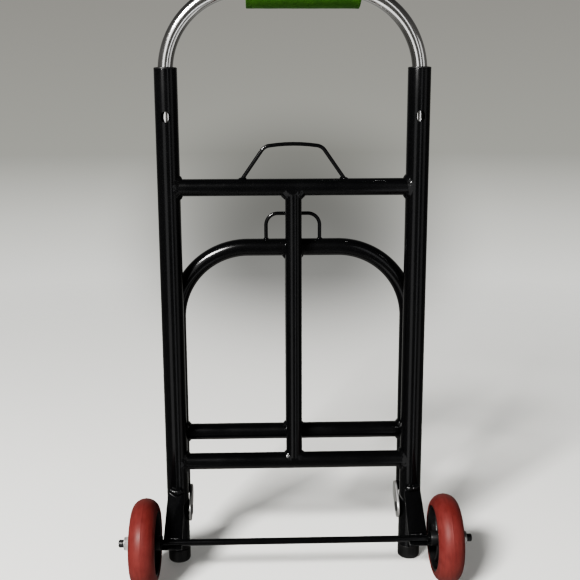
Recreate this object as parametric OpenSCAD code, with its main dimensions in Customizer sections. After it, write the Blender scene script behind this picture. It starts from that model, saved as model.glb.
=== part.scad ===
// Folding luggage cart: a welded tube frame with a telescoping chrome handle, a fold-down
// load platform, two wheels on a through axle and a rubber foot under each upright.
//
// Millimetres, +Z up. The origin is on the floor, at the centre of the cart's footprint.
// The wheels and the user are on the -Y side, and the platform folds down towards +Y.
// Left is -X. The cart is drawn standing, with the handle pushed down and the platform up.

/* [Frame] */
// Distance between the centre lines of the uprights
upright_spacing = 305; // [295:1:305]
// Height of the tops of the uprights above the floor
upright_top = 635; // [620:1:650]
// Outside diameter of the uprights
upright_d = 28; // [28:0.5:29]
// Wall thickness of every steel tube
wall = 1.2; // [1:0.1:1.4]
// Outside diameter of the crossbars
crossbar_d = 21; // [21:0.5:22]
// Height of the top crossbar
top_bar_z = 492; // [480:1:505]
// Height of the lower crossbar
lower_bar_z = 137; // [130:1:145]
// Outside diameter of the two centre tubes
centre_tube_d = 20.5; // [18:0.5:20.5]

/* [Wire loops] */
// Wire diameter of the loop on the top crossbar
top_wire_d = 4.5; // [4:0.5:6]
// Width of the top loop where it meets the crossbar
top_loop_base = 125; // [115:1:135]
// How far the top loop's legs lean inwards, in degrees
top_loop_lean = 35; // [32:0.5:37]
// Height of the top loop above the crossbar's axis
top_loop_rise = 52.5; // [48:0.5:56]
// Wire diameter of the loop at the platform's tip
tip_wire_d = 4.5; // [4:0.5:5.5]
// Width of the tip loop between the centres of its legs
tip_loop_w = 68; // [60:1:75]
// Height of the tip loop above the arch's axis
tip_loop_rise = 43; // [38:1:50]

/* [Handle] */
// Outside diameter of the chrome handle tube
handle_d = 19; // [18.5:0.5:20]
// Height of the handle's top above the floor when it is pushed down
handle_top = 725; // [722:1:730]
// Radius of the handle's two bends, on the tube's axis
handle_bend_r = 96; // [92:1:98]
// How far the handle pulls out
handle_travel = 300; // [280:1:310]
// Outside diameter of the grip
grip_d = 45; // [38:1:48]
// Length of the grip
grip_length = 137; // [129:2:145]
// How far the grip sits to the right of the middle
grip_shift = 13; // [11:1:15]

/* [Snap buttons] */
// Height of the button holes in the uprights
button_hole_z = 577; // [572:1:582]
// Width of the oval button holes in the uprights
button_hole_d = 11; // [10:0.5:12]
// Diameter of the snap buttons
button_d = 9; // [8:0.1:9]

/* [Platform] */
// Outside diameter of the platform's arch
arch_d = 22; // [21:0.5:22]
// Distance between the centre lines of the arch's legs
arch_spacing = 298.5; // [298.5:0.5:300]
// Height of the arch's top when the platform is folded up
arch_top = 414; // [405:1:425]
// Radius of the arch's bends, on the tube's axis
arch_bend_r = 92; // [85:1:96]
// Distance of the folded platform in front of the uprights' axes
platform_offset = 26.5; // [26.5:0.5:28]
// Height of the platform's crossbar when it is folded up
platform_bar_z = 168; // [162:1:175]

/* [Hinge] */
// Height of the platform's pivots
pivot_z = 69.5; // [68:0.5:72]
// Diameter of the pivot rivets' shanks
rivet_d = 8; // [7:0.5:8]
// Thickness of the hinge plates
plate_t = 3; // [2.5:0.5:3]

/* [Wheels and axle] */
// Outside diameter of the tyres
wheel_d = 110; // [106:1:112]
// Width of the tyres
tyre_w = 32; // [30:1:34]
// Diameter of the opening inside the tyre
rim_d = 81; // [78:1:84]
// Distance of the wheels' centres from the middle of the cart
wheel_x = 188; // [188:0.5:190]
// Distance of the axle behind the uprights' axes
axle_back = 63; // [60:1:66]
// Diameter of the axle
axle_d = 8; // [7:0.5:8]
// Number of spokes in each wheel
spokes = 5; // [3:1:6]
// Width of the bent straps at the axle
strap_w = 24; // [22:1:24]
// Thickness of the bent straps
strap_t = 5; // [4:0.5:5]

/* [Feet] */
// Height of the foot below the end of the upright
foot_h = 18; // [16:1:20]

/* [Hidden] */
$fn = 96;

left = -1;
right = 1;
upright_x = upright_spacing / 2;
upright_bore = upright_d - 2 * wall;
axle_z = wheel_d / 2;
weld = 3.5; // how far a weld bead stands out
// The footprint runs from the back of the tyres to the front of the folded platform's beads
frame_y = (axle_back + wheel_d / 2 - platform_offset - centre_tube_d / 2 - weld) / 2;
overcut = 2; // how far a cutting shape runs past what it cuts
running_gap = 0.05; // radial clearance of a running fit
slip_gap = 0.1; // clearance between parts that stay apart

// Guide bushes
bush_flange_h = 2;
bush_length = 38;
bush_flare_h = 10;
bush_flare = 1;

// Feet
foot_overhang = 0.3;
foot_round = 4;
foot_stem_h = 22;

// Handle, drawn pushed down
button_rest_z = button_hole_z - handle_travel;
slider_collar_h = 12;
slider_stem_h = 16;
handle_below_button = 30;
handle_low = button_rest_z - handle_below_button;
handle_bore = handle_d - 2 * wall;
grip_end_left = grip_shift - grip_length / 2;
grip_bend_x = upright_x - handle_bend_r;
// The stiff foam bends less than the tube inside it: by this many degrees
grip_bend_angle = 6.5;
grip_straight_run = round(grip_length - handle_bend_r * grip_bend_angle * PI / 180);

// Snap buttons, pressed in by the upright's bore
hole_stretch = 1; // how far the oval's two circles are above and below its middle
button_flange_d = 11;
button_flange_t = 1;
button_dome = 1.6;
// The edge of the button's flat tip stays clear of the round bore
button_tip = sqrt(pow(upright_bore / 2 - slip_gap, 2) - pow(button_d / 2 - button_dome, 2));
button_back = 2;
spring_t = 0.7;
spring_w = 5;
spring_far_y = 6.5;
spring_below = 6;
spring_above = 33;

// Platform, drawn folded up
arch_x = arch_spacing / 2;
leg_gap = 0.5; // clearance between a leg's end and the upright when the platform is down
leg_low = pivot_z + upright_d / 2 + leg_gap;
tip_loop_bend_r = 15;
plate_gap = 0.4;
plate_out_x = upright_x - upright_d / 2 - plate_gap;
plate_r = 14;
plate_reach = 23.6; // from the pivot to the centre of the plate's other end
plate_lean = 32;
plate_weld_w = 14;
plate_weld_top = pivot_z + 24;
rivet_head_d = 13;
rivet_head_t = 1.2;
rivet_tail_t = 2;

// Top loop: two straight legs, two tight bends and a roof of large radius
top_loop_bend_r = 14;
top_loop_roof_r = 200;
// Where the line of a leg meets the crossbar's axis, looking along +Y
top_loop_foot = [top_loop_base / 2 + crossbar_d / 2 * tan(top_loop_lean), top_bar_z];
top_loop_roof_centre = [0, top_bar_z + top_loop_rise - top_loop_roof_r];
top_loop_leg_normal = [cos(top_loop_lean), sin(top_loop_lean)];
// Half of the roof's arc, in degrees: each bend touches the roof and the line of its leg
top_loop_roof_half =
    asin(((top_loop_foot - top_loop_roof_centre) * top_loop_leg_normal - top_loop_bend_r)
         / (top_loop_roof_r - top_loop_bend_r)) - top_loop_lean;
// The legs and the roof reach this far into the bends, and are thinner by wire_step
wire_lap = 0.3;
wire_step = 0.02;

// Other welds
platform_bar_weld = 1.7; // smaller, to pass the uprights
wire_weld = 2.5;
strap_weld_d = 11;
axle_weld_d = 6;
weld_bite = 0.5; // how deep the bead between strap and axle goes into the strap's face

// Axle straps: the strap leaves the upright at this height and hooks under the axle
strap_top = 100;
strap_taper = 3; // how much narrower the strap is at the upright, on its outer side
strap_bead_end = 1; // distance of a bead's ends from the strap's edges
strap_inset = 9.5; // from the upright's centre line to the strap's inner edge
strap_in_x = upright_x - strap_inset;
strap_out_x = strap_in_x + strap_w;
strap_hook_r = axle_d / 2 + strap_t;
// The strap's upper face runs from the back of the upright to the axle's far side
strap_run = [axle_back - upright_d / 2, strap_top - axle_z];
strap_angle = atan2(strap_run[1], strap_run[0]) + asin(axle_d / 2 / norm(strap_run));

// Wheels
hub_d = 18;
end_play = 0.2;
washer_d = 18;
washer_t = 1.5;
hub_inner_x = strap_out_x + washer_t + 2 * end_play;
hub_proud = 2;
hub_outer_x = wheel_x + tyre_w / 2 + hub_proud;
rim_inset = 1;
rim_w = tyre_w - 2 * rim_inset;
rim_t = 4;
rim_lip = 1;
spoke_t = 4.5;
spoke_w = 22;
spoke_curve = 0.8; // radius of a spoke's arc, as a part of the spoke's reach
spoke_root = 1; // how deep a spoke starts in the hub
tyre_step = 7.5; // degrees between the points of the tyre's section
nut_af = 16;
nut_h = 6.5;
nut_chamfer = 0.3;
nut_chamfer_angle = 30;
cap_d = 9.5;
cap_h = 7;
cap_skin = 2;
nut_x = hub_outer_x + end_play + washer_t;
cap_x = nut_x + nut_h;

// Placing --------------------------------------------------------------------------------

module in_frame_plane() {
    translate([0, frame_y, 0]) children();
}

module in_platform_plane() {
    translate([0, frame_y + platform_offset, 0]) children();
}

module on_side(side) {
    if (side == left) mirror([1, 0, 0]) children();
    else children();
}

module at_axle() {
    translate([0, frame_y - axle_back, axle_z]) children();
}

module along_x() {
    rotate([0, 90, 0]) children();
}

// Stands a flat outline in the YZ plane, so that it is seen as drawn when looking along -X
module across_x() {
    rotate([90, 0, 90]) children();
}

// Points a shape drawn along +Z towards the rear
module towards_rear() {
    rotate([90, 0, 0]) children();
}

// Bars and tubes -------------------------------------------------------------------------

module ring(d, bore) {
    difference() {
        circle(d = d);
        if (bore > 0) circle(d = bore);
    }
}

module run(length, d, bore = 0) {
    linear_extrude(length) ring(d, bore);
}

// A bend in the XZ plane, from start to start + angle degrees above the +X direction
module bend(radius, start, angle, d, bore = 0) {
    rotate([90, 0, 0])
        rotate_extrude(angle = angle, start = start)
            translate([radius, 0]) ring(d, bore);
}

// A bar bent twice by 90 degrees, with its legs down
module bent_bar(spacing, low, high, radius, d, bore = 0) {
    for (side = [left, right])
        on_side(side) {
            translate([spacing / 2, 0, low]) run(high - radius - low, d, bore);
            translate([spacing / 2 - radius, 0, high - radius]) bend(radius, 0, 90, d, bore);
        }
    translate([radius - spacing / 2, 0, high]) along_x() run(spacing - 2 * radius, d, bore);
}

// A crossbar coped to fit between two uprights or legs at x = -reach and x = +reach
module coped_bar(reach, d, post_d) {
    difference() {
        translate([-reach, 0, 0]) along_x() linear_extrude(2 * reach) ring(d, d - 2 * wall);
        for (side = [left, right])
            translate([side * reach, 0, -d]) cylinder(d = post_d, h = 2 * d);
    }
}

// An upright tube coped to fit between two crossbars
module coped_post(low, high, d, low_bar_d, high_bar_d) {
    difference() {
        translate([0, 0, low]) linear_extrude(high - low) ring(d, d - 2 * wall);
        translate([-d, 0, low]) along_x() cylinder(d = low_bar_d, h = 2 * d);
        translate([-d, 0, high]) along_x() cylinder(d = high_bar_d, h = 2 * d);
    }
}

// The bead round a bar that stands on another: the bar below runs along X, and the bar that
// stands on it leans by tilt degrees from +Z towards +X
module saddle_weld(below_d, bar_d, w, tilt = 0) {
    difference() {
        intersection() {
            translate([-2 * below_d, 0, 0]) along_x() cylinder(d = below_d + 2 * w, h = 4 * below_d);
            rotate([0, tilt, 0]) cylinder(d = bar_d + 2 * w, h = 2 * below_d);
        }
        translate([-3 * below_d, 0, 0]) along_x() cylinder(d = below_d, h = 6 * below_d);
        rotate([0, tilt, 0]) cylinder(d = bar_d, h = 3 * below_d);
    }
}

// Frame ----------------------------------------------------------------------------------

module upright(side) {
    color("#17181a")
        in_frame_plane() on_side(side) translate([upright_x, 0, 0])
            difference() {
                translate([0, 0, foot_h])
                    linear_extrude(upright_top - bush_flange_h - foot_h) ring(upright_d, upright_bore);
                for (z = [-hole_stretch, hole_stretch])
                    translate([0, 0, button_hole_z + z])
                        towards_rear() cylinder(d = button_hole_d, h = upright_d);
                translate([-upright_d, 0, pivot_z])
                    along_x() cylinder(d = rivet_d + 2 * slip_gap, h = 2 * upright_d);
            }
}

module top_crossbar() {
    color("#17181a")
        in_frame_plane() translate([0, 0, top_bar_z]) coped_bar(upright_x, crossbar_d, upright_d);
}

module lower_crossbar() {
    color("#17181a")
        in_frame_plane() translate([0, 0, lower_bar_z]) coped_bar(upright_x, crossbar_d, upright_d);
}

module frame_centre_tube() {
    color("#17181a")
        in_frame_plane() coped_post(lower_bar_z, top_bar_z, centre_tube_d, crossbar_d, crossbar_d);
}

module top_wire_loop() {
    lap_angle = wire_lap / top_loop_roof_r * 180 / PI;
    roof_half = top_loop_roof_half + lap_angle;
    bend_centre = top_loop_roof_centre + (top_loop_roof_r - top_loop_bend_r)
        * [sin(top_loop_roof_half), cos(top_loop_roof_half)];
    leg_top = bend_centre + top_loop_bend_r * top_loop_leg_normal;
    leg_length = norm(top_loop_foot - leg_top);
    color("#17181a")
        in_frame_plane() difference() {
            union() {
                translate([0, 0, top_loop_roof_centre[1]])
                    bend(top_loop_roof_r, 90 - roof_half, 2 * roof_half, top_wire_d - wire_step);
                for (side = [left, right])
                    on_side(side) {
                        translate([bend_centre[0], 0, bend_centre[1]])
                            bend(top_loop_bend_r, top_loop_lean,
                                 90 - top_loop_roof_half - top_loop_lean, top_wire_d);
                        translate([top_loop_foot[0], 0, top_loop_foot[1]])
                            rotate([0, -top_loop_lean, 0])
                                run(leg_length + wire_lap, top_wire_d - wire_step);
                    }
            }
            translate([-upright_x, 0, top_bar_z])
                along_x() cylinder(d = crossbar_d, h = upright_spacing);
        }
}

// The strap's outline, lying along the first axis, with the axle's centre at the origin: a
// straight run that ends in a quarter hook round the axle
module strap_outline() {
    far = 2 * strap_hook_r;
    translate([0, -strap_hook_r]) square([2 * axle_back, strap_t]);
    intersection() {
        ring(2 * strap_hook_r, axle_d);
        translate([-far, -far]) square(far);
    }
}

// The strap's outline from above, with the axle along the first axis
module strap_plan() {
    upright_back = axle_back - upright_d / 2;
    near = -2 * strap_hook_r;
    far = 2 * upright_back;
    polygon([[strap_in_x, near], [strap_out_x, near], [strap_out_x, 0],
             [strap_out_x - strap_taper * far / upright_back, far], [strap_in_x, far]]);
}

module axle_strap(side) {
    color("#17181a")
        on_side(side) difference() {
            at_axle() intersection() {
                translate([strap_in_x, 0, 0])
                    rotate([strap_angle, 0, 0]) across_x() linear_extrude(strap_w) strap_outline();
                translate([0, 0, -axle_z]) linear_extrude(2 * strap_top) strap_plan();
            }
            in_frame_plane() {
                translate([upright_x, 0, 0]) cylinder(d = upright_d, h = 2 * strap_top);
                cube([upright_spacing, 2 * axle_back, 2 * strap_top]);
            }
        }
}

module axle_rod() {
    tip = cap_x + cap_h - cap_skin;
    color("#17181a") at_axle() translate([-tip, 0, 0]) along_x() cylinder(d = axle_d, h = 2 * tip);
}

module foot(side) {
    head_r = upright_d / 2 + foot_overhang;
    color("#101010")
        in_frame_plane() on_side(side) translate([upright_x, 0, 0]) {
            rotate_extrude() {
                square([head_r - foot_round, foot_round]);
                translate([0, foot_round]) square([head_r, foot_h - foot_round]);
                intersection() {
                    translate([head_r - foot_round, foot_round]) circle(r = foot_round);
                    square([head_r, foot_round]);
                }
            }
            translate([0, 0, foot_h]) cylinder(d = upright_bore - 2 * running_gap, h = foot_stem_h);
        }
}

module guide_bush(side) {
    bore_r = handle_d / 2 + running_gap;
    body_r = upright_bore / 2 - running_gap;
    color("#101010")
        in_frame_plane() on_side(side) translate([upright_x, 0, upright_top])
            rotate_extrude()
                polygon([[bore_r, -bush_length], [body_r, -bush_length], [body_r, -bush_flange_h],
                         [upright_d / 2, -bush_flange_h], [upright_d / 2, 0],
                         [bore_r + bush_flare, 0], [bore_r, -bush_flare_h]]);
}

module frame_welds() {
    color("#1b1c1e")
        in_frame_plane() {
            for (side = [left, right], z = [top_bar_z, lower_bar_z])
                on_side(side) translate([upright_x, 0, z])
                    rotate([0, -90, 0]) saddle_weld(upright_d, crossbar_d, weld);
            translate([0, 0, lower_bar_z]) saddle_weld(crossbar_d, centre_tube_d, weld);
            translate([0, 0, top_bar_z])
                rotate([180, 0, 0]) saddle_weld(crossbar_d, centre_tube_d, weld);
            for (side = [left, right])
                on_side(side) translate([top_loop_foot[0], 0, top_loop_foot[1]])
                    saddle_weld(crossbar_d, top_wire_d, wire_weld, -top_loop_lean);
        }
    for (side = [left, right]) {
        strap_to_upright_weld(side);
        strap_to_axle_weld(side);
    }
}

// The bead that fills the corner between the upright and the strap's upper face
module strap_to_upright_weld(side) {
    color("#1b1c1e")
        on_side(side) difference() {
            translate([strap_in_x + strap_bead_end, frame_y - upright_d / 2, strap_top]) along_x()
                cylinder(d = strap_weld_d, h = strap_w - strap_taper - 2 * strap_bead_end);
            in_frame_plane() {
                translate([upright_x, 0, 0]) cylinder(d = upright_d, h = 2 * strap_top);
                cube([upright_spacing, axle_back, 2 * strap_top]);
            }
            below_strap_face();
        }
}

// The bead that fills the corner between the axle and the strap's upper face
module strap_to_axle_weld(side) {
    color("#1b1c1e")
        on_side(side) difference() {
            at_axle() translate([strap_in_x + strap_bead_end, 0, 0]) rotate([strap_angle, 0, 0])
                translate([0, axle_weld_d, (axle_weld_d - axle_d) / 2 - weld_bite]) along_x()
                    cylinder(d = axle_weld_d, h = strap_w - strap_taper - 2 * strap_bead_end);
            at_axle() along_x() cylinder(d = axle_d, h = upright_spacing);
            below_strap_face();
        }
}

// All the space on the lower side of the strap's upper face
module below_strap_face() {
    far = 3 * axle_back;
    at_axle() rotate([strap_angle, 0, 0]) across_x() linear_extrude(upright_spacing)
        translate([-far / 2, -far - axle_d / 2]) square([far, far]);
}

module pivot_rivets() {
    head_x = plate_out_x - plate_t - slip_gap - rivet_head_t;
    tail_x = upright_x + upright_d / 2;
    color("#1d1d1f")
        in_frame_plane() for (side = [left, right])
            on_side(side) translate([0, 0, pivot_z]) along_x() {
                translate([0, 0, head_x]) cylinder(d = rivet_head_d, h = rivet_head_t);
                translate([0, 0, head_x]) cylinder(d = rivet_d, h = tail_x - head_x + rivet_tail_t);
                translate([0, 0, tail_x]) cylinder(d = rivet_head_d, h = rivet_tail_t);
            }
}

// Axle fittings --------------------------------------------------------------------------

module axle_washers() {
    inner_x = strap_out_x + end_play;
    color("#b9bcc0")
        at_axle() for (side = [left, right], x = [inner_x, hub_outer_x + end_play])
            on_side(side) translate([x, 0, 0])
                along_x() linear_extrude(washer_t) ring(washer_d, axle_d + 2 * slip_gap);
}

module axle_nuts() {
    color("#b9bcc0")
        at_axle() for (side = [left, right])
            on_side(side) translate([nut_x, 0, 0]) along_x()
                difference() {
                    intersection() {
                        cylinder(d = nut_af / cos(30), h = nut_h, $fn = 6);
                        chamfered_blank();
                    }
                    translate([0, 0, -overcut]) cylinder(d = axle_d, h = nut_h + 2 * overcut);
                }
}

// The turned blank that cuts the corners off a nut's outer face
module chamfered_blank() {
    blank_r = nut_af / 2 / cos(30) + overcut;
    face_r = nut_af / 2 - nut_chamfer;
    edge_h = nut_h - (blank_r - face_r) * tan(nut_chamfer_angle);
    rotate_extrude()
        polygon([[0, 0], [blank_r, 0], [blank_r, edge_h], [face_r, nut_h], [0, nut_h]]);
}

module axle_caps() {
    color("#101010")
        at_axle() for (side = [left, right])
            on_side(side) translate([cap_x, 0, 0]) along_x()
                difference() {
                    cylinder(d = cap_d, h = cap_h);
                    translate([0, 0, -overcut]) cylinder(d = axle_d, h = cap_h - cap_skin + overcut);
                }
}

// Handle ---------------------------------------------------------------------------------

module handle_tube() {
    color("#d4d7da")
        in_frame_plane() difference() {
            bent_bar(upright_spacing, handle_low, handle_top, handle_bend_r, handle_d, handle_bore);
            for (side = [left, right])
                translate([side * upright_x, 0, button_rest_z])
                    towards_rear() cylinder(d = button_d + 2 * slip_gap, h = handle_d);
        }
}

// The grip reaches round the start of the handle's right bend
module handle_grip() {
    grip_bore = handle_d + 2 * running_gap;
    color("#3f6b27")
        in_frame_plane() difference() {
            union() {
                translate([grip_end_left, 0, handle_top]) along_x() run(grip_straight_run, grip_d);
                translate([grip_end_left + grip_straight_run, 0, handle_top - handle_bend_r])
                    bend(handle_bend_r, 90 - grip_bend_angle, grip_bend_angle, grip_d);
            }
            translate([grip_end_left - overcut, 0, handle_top])
                along_x() run(grip_bend_x - grip_end_left + overcut, grip_bore);
            translate([grip_bend_x, 0, handle_top - handle_bend_r])
                bend(handle_bend_r, 0, 90, grip_bore);
        }
}

// A plastic plug in the handle's lower end, with a collar that slides in the upright
module handle_slider(side) {
    color("#101010")
        in_frame_plane() on_side(side) translate([upright_x, 0, handle_low]) {
            translate([0, 0, -slider_collar_h])
                cylinder(d = upright_bore - 2 * running_gap, h = slider_collar_h);
            cylinder(d = handle_bore - 2 * running_gap, h = slider_stem_h);
        }
}

// A bent leaf inside the handle tube that pushes the snap button out
module button_spring(side) {
    near_y = -button_back + button_flange_t + slip_gap;
    bend_r = (spring_far_y + spring_t - near_y) / 2;
    color("#9a9da1")
        in_frame_plane() on_side(side) translate([upright_x - spring_w / 2, 0, button_rest_z])
            across_x() linear_extrude(spring_w) {
                for (y = [near_y, spring_far_y])
                    translate([y, -spring_below]) square([spring_t, spring_below + spring_above]);
                translate([near_y + bend_r, spring_above])
                    intersection() {
                        ring(2 * bend_r, 2 * (bend_r - spring_t));
                        translate([-bend_r, 0]) square([2 * bend_r, bend_r]);
                    }
            }
}

module snap_button(side) {
    inner_face = button_back - button_flange_t;
    shoulder = button_tip - button_dome;
    color("#c9ccd0")
        in_frame_plane() on_side(side) translate([upright_x, 0, button_rest_z])
            towards_rear() rotate_extrude()
                polygon([[0, inner_face], [button_flange_d / 2, inner_face],
                         [button_flange_d / 2, button_back], [button_d / 2, button_back],
                         [button_d / 2, shoulder], [button_d / 2 - button_dome, button_tip],
                         [0, button_tip]]);
}

// Platform -------------------------------------------------------------------------------

module platform_arch() {
    color("#17181a")
        in_platform_plane()
            bent_bar(arch_spacing, leg_low, arch_top, arch_bend_r, arch_d, arch_d - 2 * wall);
}

module platform_crossbar() {
    color("#17181a")
        in_platform_plane() translate([0, 0, platform_bar_z]) coped_bar(arch_x, crossbar_d, arch_d);
}

module platform_centre_tube() {
    color("#17181a")
        in_platform_plane() coped_post(platform_bar_z, arch_top, centre_tube_d, crossbar_d, arch_d);
}

module platform_tip_loop() {
    color("#17181a")
        in_platform_plane() difference() {
            bent_bar(tip_loop_w, arch_top, arch_top + tip_loop_rise, tip_loop_bend_r, tip_wire_d);
            translate([-arch_x, 0, arch_top]) along_x() cylinder(d = arch_d, h = arch_spacing);
        }
}

module hinge_plate(side) {
    color("#b9bcc0")
        in_frame_plane() on_side(side) translate([plate_out_x - plate_t, 0, pivot_z])
            rotate([plate_lean, 0, 0]) across_x() linear_extrude(plate_t) difference() {
                union() {
                    circle(r = plate_r);
                    translate([0, -plate_r]) square([plate_reach, 2 * plate_r]);
                    translate([plate_reach, 0]) circle(r = plate_r);
                }
                circle(d = rivet_d + 2 * running_gap);
            }
}

module platform_welds() {
    color("#1b1c1e") {
        in_platform_plane() {
            for (side = [left, right]) {
                on_side(side) translate([arch_x, 0, platform_bar_z])
                    rotate([0, -90, 0]) saddle_weld(arch_d, crossbar_d, platform_bar_weld);
                translate([side * tip_loop_w / 2, 0, arch_top])
                    saddle_weld(arch_d, tip_wire_d, wire_weld);
            }
            translate([0, 0, platform_bar_z]) saddle_weld(crossbar_d, centre_tube_d, weld);
            translate([0, 0, arch_top])
                rotate([180, 0, 0]) saddle_weld(arch_d, centre_tube_d, weld);
        }
        for (side = [left, right]) plate_weld(side);
    }
}

// The fillets that join a hinge plate to the leg of the arch
module plate_weld(side) {
    in_platform_plane() on_side(side) difference() {
        translate([plate_out_x, -plate_weld_w / 2, leg_low])
            cube([arch_x - plate_out_x, plate_weld_w, plate_weld_top - leg_low]);
        translate([arch_x, 0, leg_low - overcut]) cylinder(d = arch_d, h = plate_weld_top);
    }
}

// Wheels ---------------------------------------------------------------------------------

module at_wheel(side) {
    at_axle() on_side(side) translate([wheel_x, 0, 0]) along_x() children();
}

// The tyre's section is the outer half of an ellipse, seated on the rim
module tyre(side) {
    crown = (wheel_d - rim_d) / 2;
    seat_r = rim_d / 2 + rim_lip;
    color("#9c322b")
        at_wheel(side) rotate_extrude()
            difference() {
                polygon([for (a = [0 : tyre_step : 180])
                    [rim_d / 2 + crown * sin(a), tyre_w / 2 * cos(a)]]);
                translate([0, -rim_w / 2]) square([seat_r, rim_w]);
            }
}

module rim(side) {
    rim_r = rim_d / 2 + rim_lip - slip_gap;
    inner_h = hub_inner_x - wheel_x;
    outer_h = hub_outer_x - wheel_x;
    color("#101010")
        at_wheel(side) difference() {
            union() {
                translate([0, 0, inner_h]) cylinder(d = hub_d, h = outer_h - inner_h);
                translate([0, 0, slip_gap - rim_w / 2])
                    linear_extrude(rim_w - 2 * slip_gap) ring(2 * rim_r, 2 * (rim_r - rim_t));
                translate([0, 0, -spoke_w / 2])
                    linear_extrude(spoke_w) spoke_outlines(rim_r - rim_t / 2);
            }
            translate([0, 0, inner_h - overcut])
                cylinder(d = axle_d + 2 * running_gap, h = outer_h - inner_h + 2 * overcut);
        }
}

// Curved spokes: each is an arc that starts on the axis and ends inside the rim
module spoke_outlines(reach) {
    arc_r = reach * spoke_curve;
    half_angle = asin(reach / 2 / arc_r);
    for (i = [0 : spokes - 1])
        rotate(i * 360 / spokes + 90)
            difference() {
                intersection() {
                    translate([reach / 2, -arc_r * cos(half_angle)])
                        ring(2 * arc_r + spoke_t, 2 * arc_r - spoke_t);
                    square([reach, reach]);
                }
                circle(d = hub_d - 2 * spoke_root);
            }
}

upright(left);  // upright_left
upright(right);  // upright_right
top_crossbar();
lower_crossbar();
frame_centre_tube();
top_wire_loop();
axle_strap(left);  // axle_strap_left
axle_strap(right);  // axle_strap_right
axle_rod();
foot(left);  // foot_left
foot(right);  // foot_right
guide_bush(left);  // guide_bush_left
guide_bush(right);  // guide_bush_right
frame_welds();
pivot_rivets();
axle_washers();
axle_nuts();
axle_caps();
handle_tube();
handle_grip();
handle_slider(left);  // handle_slider_left
handle_slider(right);  // handle_slider_right
button_spring(left);  // button_spring_left
button_spring(right);  // button_spring_right
snap_button(left);  // snap_button_left
snap_button(right);  // snap_button_right
platform_arch();
platform_crossbar();
platform_centre_tube();
platform_tip_loop();
hinge_plate(left);  // hinge_plate_left
hinge_plate(right);  // hinge_plate_right
platform_welds();
tyre(left);  // tyre_left
rim(left);  // rim_left
tyre(right);  // tyre_right
rim(right);  // rim_right
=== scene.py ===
"""The looks of a folding luggage cart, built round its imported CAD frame.

Metres, +Z up. The camera and the user are on the -Y side, and left is -X. The cart stands on the
floor with its handle pushed down and its platform folded up.
"""

import math

import bmesh
import bpy
from mathutils import Matrix, Vector, noise


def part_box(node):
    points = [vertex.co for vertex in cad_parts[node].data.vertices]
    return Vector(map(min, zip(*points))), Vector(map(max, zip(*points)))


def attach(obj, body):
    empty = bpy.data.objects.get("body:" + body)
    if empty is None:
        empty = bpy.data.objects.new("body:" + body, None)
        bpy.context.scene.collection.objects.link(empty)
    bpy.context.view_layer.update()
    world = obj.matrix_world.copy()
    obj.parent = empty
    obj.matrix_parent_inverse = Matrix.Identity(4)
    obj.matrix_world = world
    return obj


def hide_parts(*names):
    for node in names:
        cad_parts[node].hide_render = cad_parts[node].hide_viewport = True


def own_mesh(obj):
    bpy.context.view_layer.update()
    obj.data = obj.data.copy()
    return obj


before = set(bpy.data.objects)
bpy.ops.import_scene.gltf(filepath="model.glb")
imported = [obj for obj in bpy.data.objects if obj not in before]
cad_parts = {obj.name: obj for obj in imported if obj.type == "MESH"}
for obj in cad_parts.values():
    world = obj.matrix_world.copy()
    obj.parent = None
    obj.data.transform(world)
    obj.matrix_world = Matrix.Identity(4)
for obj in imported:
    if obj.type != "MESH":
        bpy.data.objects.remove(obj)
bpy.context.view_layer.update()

MM = 0.001
LEFT, RIGHT = -1, 1
SIDES = {"left": LEFT, "right": RIGHT}
X_AXIS, Y_AXIS, Z_AXIS = Vector((1, 0, 0)), Vector((0, 1, 0)), Vector((0, 0, 1))

# Sizes that the nodes' boxes don't give
WALL = 1.2 * MM
HANDLE_BEND_R = 96 * MM
GRIP_STRAIGHT = 126 * MM
GRIP_BEND = math.radians(6.5)
ARCH_BEND_R = 92 * MM
TIP_LOOP_BEND_R = 15 * MM
TOP_LOOP_BASE = 125 * MM
TOP_LOOP_LEAN = math.radians(35)
TOP_LOOP_BEND_R = 14 * MM
TOP_LOOP_ROOF_R = 200 * MM
BUTTON_HOLE_R = 5.5 * MM
HOLE_STRETCH = 1 * MM
HANDLE_TRAVEL = 300 * MM
BUTTON_R = 4.5 * MM
BUTTON_FLANGE = 0.8 * MM
SPRING_T = 0.7 * MM
STRAP_T = 5 * MM
STRAP_TOP = 100 * MM
STRAP_TAPER = 3 * MM
STRAP_BEAD_END = 1.5 * MM
WASHER_T = 1.5 * MM
NUT_H = 6.5 * MM
CAP_H = 7 * MM
RIVET_R = 4 * MM
PLATE_R = 14 * MM
PLATE_REACH = 23.6 * MM
PLATE_LEAN = math.radians(32)
HUB_R = 9 * MM
SPOKES = 5
MOULD_LINE = 11.8 * MM
PIN_R = 0.4 * MM  # where a turned solid closes on its axis
FIT = 0.05 * MM  # between a part and the bore it sits in
FLOOR_R = 2.2


def middle(node):
    low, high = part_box(node)
    return (low + high) / 2


def size(node):
    low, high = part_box(node)
    return high - low


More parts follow.
